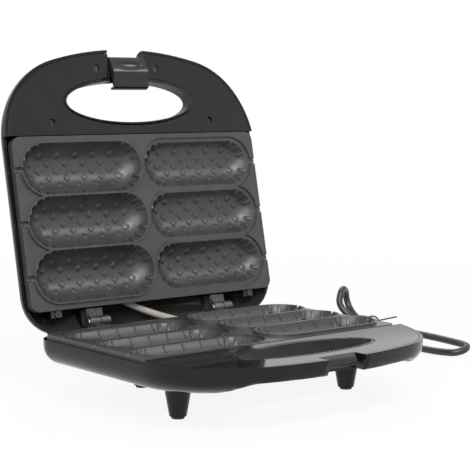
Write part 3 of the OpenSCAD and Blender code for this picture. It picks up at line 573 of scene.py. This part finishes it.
def hang_matrix():
    """Takes a point of the drawn latch, in millimetres, to its place at rest in metres."""
    front = Vector((0, -math.cos(LATCH_TILT), math.sin(LATCH_TILT)))
    up = Vector((0, math.sin(LATCH_TILT), math.cos(LATCH_TILT)))
    hang = Matrix((front, up, Vector((-1, 0, 0)))).transposed().to_4x4()
    return Matrix.Scale(MM, 4) @ Matrix.Translation(PIVOT) @ hang


def make_latch():
    curve = draw_lines("latch_tongue", "2D", latch_outlines(), True)
    curve.fill_mode = "BOTH"
    curve.extrude = LATCH_W / 2
    tongue = to_mesh(curve)
    edit_all()
    bpy.ops.mesh.remove_doubles(threshold=LATCH_WELD)
    bpy.ops.mesh.normals_make_consistent(inside=False)
    bpy.ops.object.mode_set(mode="OBJECT")
    cut_dish(tongue)
    tongue.data.transform(hang_matrix())
    select_only(tongue)
    blend_faces(LATCH_BLEND)
    wear(tongue, "latch_gloss")
    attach(tongue, "latch")
    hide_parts("latch")


make_latch()


# woven sleeve of the wires that cross the hinge line
def make_sleeve():
    top, low = lid_matrix() @ Vector(SLEEVE_LID), base_point(*SLEEVE_BASE)
    middle = (top + low) / 2 + Vector(SLEEVE_SAG) * MM
    route = [(top * (1 - f) + middle * f) * (1 - f) + (middle * (1 - f) + low * f) * f
             for f in (k / SLEEVE_STEPS for k in range(SLEEVE_STEPS + 1))]
    sleeve = tube("wire_loom", route, SLEEVE_R * MM, SLEEVE_ROUND)
    wear(sleeve, "glass_weave")
    tuple(low)
    tuple(top)
    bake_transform(sleeve)
    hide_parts("wire_sleeve")


make_sleeve()


# floor, backdrop and light, in metres
FLOOR_SIZE, FLOOR_Z = 8, -0.0002
FLOOR_DARK, FLOOR_LIGHT, FLOOR_ROUGH = (0.8, 0.8, 0.8), (0.82, 0.82, 0.82), 0.6
FLOOR_SCALE, FLOOR_DETAIL = 3, 2
# near and far distance from the floor's middle, and how much of the floor is seen white there
GLOW_REACH, GLOW_SHARE = (0.3, 1.2), (0.9, 1.0)
# strength of the surround as light on the object and as it is seen
SURROUND = (0.4, 1.0)
# place, aim, width and power in watts
LAMPS = {
    "key": ((-1.25, -0.95, 0.8), (0, 0, 0.1), 1.3, 20),
    "front": ((-0.45, -1.15, 1.35), (0, 0, 0.05), 0.9, 20),
    "right": ((0.95, -0.9, 1.45), (0, 0.1, 0.2), 0.45, 4),
    "back": ((0.9, 1.1, 1.3), (0, 0.1, 0.2), 0.6, 4),
}


def camera_rays(n, links):
    """1 for what the camera sees directly, in gloss or through glass."""
    path = n.new("ShaderNodeLightPath")
    out = path.outputs["Is Camera Ray"]
    for other in ("Is Glossy Ray", "Is Transmission Ray"):
        node = n.new("ShaderNodeMath")
        node.operation = "MAXIMUM"
        links.new(out, node.inputs[0])
        links.new(path.outputs[other], node.inputs[1])
        out = node.outputs[0]
    return out


def lamp(name, place, aim, size, power):
    data = bpy.data.lights.new(name, "AREA")
    data.size = size
    data.energy = power
    obj = bpy.data.objects.new(name, data)
    obj.location = place
    obj.rotation_euler = (Vector(aim) - Vector(place)).to_track_quat("-Z", "Y").to_euler()
    scene.collection.objects.link(obj)


def make_floor():
    bpy.ops.object.select_all(action="DESELECT")
    bpy.ops.mesh.primitive_plane_add(size=FLOOR_SIZE, location=(0, 0, FLOOR_Z))
    floor = bpy.context.object
    floor.name = "floor"
    m, n, links, shader = new_material("pale_floor", FLOOR_DARK, FLOOR_ROUGH)
    slow = noise(n, links, FLOOR_SCALE, FLOOR_DETAIL)
    links.new(tint(n, links, slow.outputs["Fac"], FLOOR_DARK, FLOOR_LIGHT), shader.inputs["Base Color"])
    # seen from the camera the floor is nearly white, and it keeps a soft shadow
    glow = n.new("ShaderNodeEmission")
    glow.inputs["Strength"].default_value = 1.0
    place = n.new("ShaderNodeTexCoord")
    far = n.new("ShaderNodeVectorMath")
    far.operation = "LENGTH"
    links.new(place.outputs["Object"], far.inputs[0])
    share = n.new("ShaderNodeMath")
    share.operation = "MULTIPLY"
    links.new(camera_rays(n, links), share.inputs[0])
    links.new(map_range(n, links, far.outputs["Value"], GLOW_REACH, GLOW_SHARE), share.inputs[1])
    mix = n.new("ShaderNodeMixShader")
    links.new(share.outputs[0], mix.inputs["Fac"])
    links.new(shader.outputs["BSDF"], mix.inputs[1])
    links.new(glow.outputs["Emission"], mix.inputs[2])
    links.new(mix.outputs["Shader"], n["Material Output"].inputs["Surface"])
    floor.data.materials.append(m)


def make_surround():
    world = bpy.data.worlds.new("studio")
    world.use_nodes = True
    scene.world = world
    n, links = world.node_tree.nodes, world.node_tree.links
    back = n["Background"]
    back.inputs["Color"].default_value = (1, 1, 1, 1)
    links.new(map_range(n, links, camera_rays(n, links), (0, 1), SURROUND), back.inputs["Strength"])


make_floor()
make_surround()
for name, values in LAMPS.items():
    lamp(name, *values)

scene.view_settings.view_transform = "Standard"
